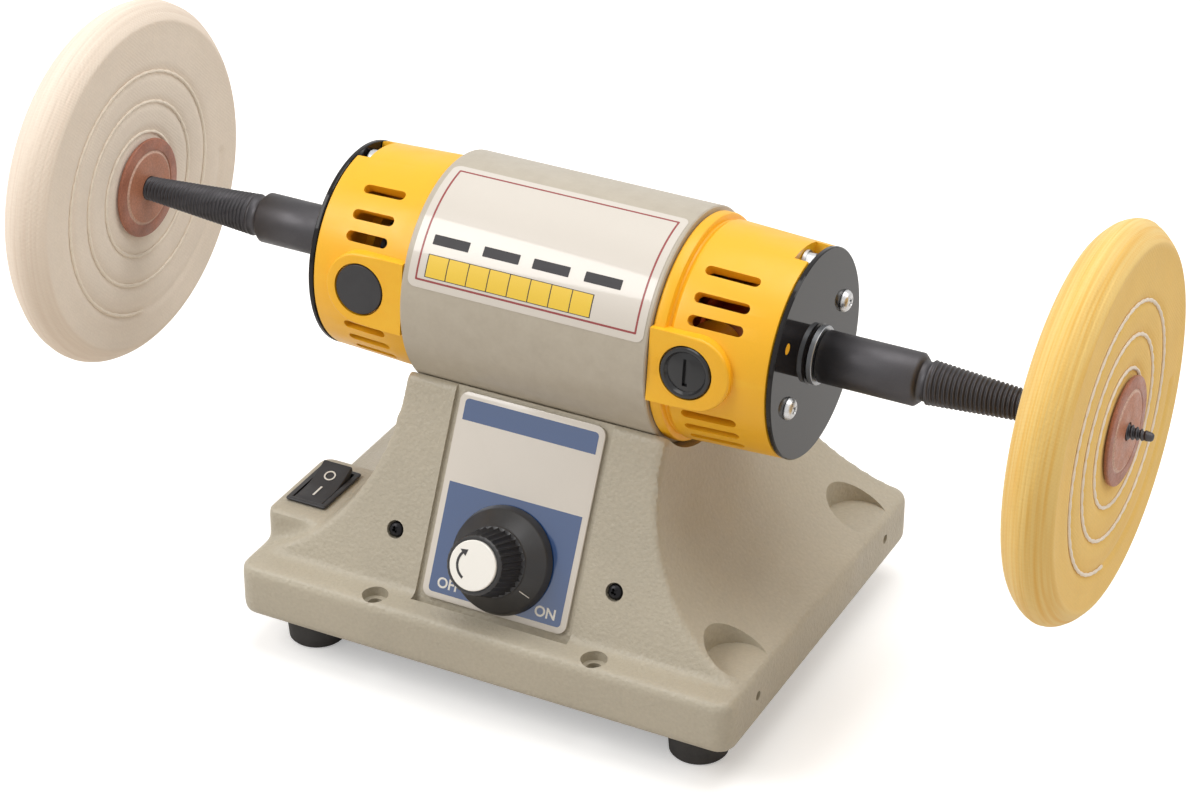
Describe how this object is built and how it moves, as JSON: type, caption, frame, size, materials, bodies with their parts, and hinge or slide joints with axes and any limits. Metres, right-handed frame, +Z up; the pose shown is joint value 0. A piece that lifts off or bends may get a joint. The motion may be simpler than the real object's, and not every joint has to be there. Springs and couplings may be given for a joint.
{
  "type": "bench polishing machine",
  "caption": "Bench polishing machine: a cast base with a speed knob and a rocker switch carries a round motor with a tapered screw spindle and a cotton buff at each end.",
  "frame": {"origin": "on the bench under the middle of the base and of the motor, at the soles of the feet", "axes": "+X along the motor shaft to the machine's right as the controls are faced, +Y to the back, +Z up"},
  "size_m": [0.33, 0.1312, 0.1568],
  "materials": {
    "cast_paint": "textured stove enamel over an iron casting, warm grey",
    "housing_paint": "smooth satin enamel, warm grey",
    "yellow_plastic": "moulded, orange yellow, half gloss",
    "black_plastic": "moulded, black",
    "satin_black": "satin black plate",
    "black_steel": "turned steel, blacked and oiled",
    "rubber": "moulded, charcoal",
    "zinc": "zinc plated",
    "steel": "plain steel",
    "copper": "varnished copper",
    "carbon": "pressed carbon",
    "panel_print": "printed sheet, blue and silver white",
    "insert_print": "printed disc, silver white",
    "leather": "tan, cut edge",
    "cream_cotton": "stitched cotton plies, cream",
    "yellow_cotton": "stitched cotton plies, treated, yellow",
    "board_laminate": "board laminate, green"
  },
  "bodies": {
    "housing": {"base_casting": "cast_paint", "base_cover": "steel", "foot_front_left": "rubber", "foot_front_right": "rubber", "foot_back_left": "rubber", "foot_back_right": "rubber", "foot_screw_front_left": "zinc", "foot_screw_front_right": "zinc", "foot_screw_back_left": "zinc", "foot_screw_back_right": "zinc", "rocker_frame": "black_plastic", "cord_grommet": "rubber", "control_panel": "panel_print", "control_bracket": "steel", "front_screw_left": "black_steel", "front_screw_right": "black_steel", "potentiometer": "zinc", "circuit_board": "board_laminate", "motor_body": "housing_paint", "motor_mount_screw_left": "zinc", "motor_mount_screw_right": "zinc", "stator_core": "steel", "field_coil_top": "copper", "field_coil_bottom": "copper", "tie_bolt_top": "zinc", "tie_bolt_bottom": "zinc", "brush_cap_front": "black_plastic", "brush_cap_back": "black_plastic", "carbon_brush_front": "carbon", "carbon_brush_back": "carbon", "blank_plug": "black_plastic", "end_cap_left": "yellow_plastic", "end_plate_left": "satin_black", "end_plate_screw_left_back": "zinc", "end_plate_screw_left_front": "zinc", "bearing_outer_left": "steel", "end_cap_right": "yellow_plastic", "end_plate_right": "satin_black", "end_plate_screw_right_back": "zinc", "end_plate_screw_right_front": "zinc", "bearing_outer_right": "steel"},
    "rotor": {"motor_shaft": "steel", "rotor_core": "steel", "rotor_winding": "copper", "commutator": "copper", "cooling_fan": "black_plastic", "bearing_inner_left": "steel", "spindle_left": "black_steel", "buff_left": "cream_cotton", "washer_left_inner": "leather", "washer_left_outer": "leather", "bearing_inner_right": "steel", "spindle_right": "black_steel", "buff_right": "yellow_cotton", "washer_right_inner": "leather", "washer_right_outer": "leather"},
    "knob": {"speed_knob": "black_plastic", "knob_insert": "insert_print", "potentiometer_shaft": "steel"},
    "rocker": {"rocker_key": "black_plastic"}
  },
  "joints": [
    {"name": "rotor_spin", "type": "hinge", "parent": "housing", "child": "rotor", "pos_m": [0, 0, 0.1029], "axis": [1, 0, 0], "continuous": true},
    {"name": "knob_turn", "type": "hinge", "parent": "housing", "child": "knob", "pos_m": [0, -0.04549, 0.04251], "axis": [0, -0.9016, 0.4326], "range_deg": [-21, 249]},
    {"name": "rocker_tilt", "type": "hinge", "parent": "housing", "child": "rocker", "pos_m": [-0.0666, -0.0299, 0.039], "axis": [1, 0, 0], "range_deg": [-20, 0]}
  ]
}
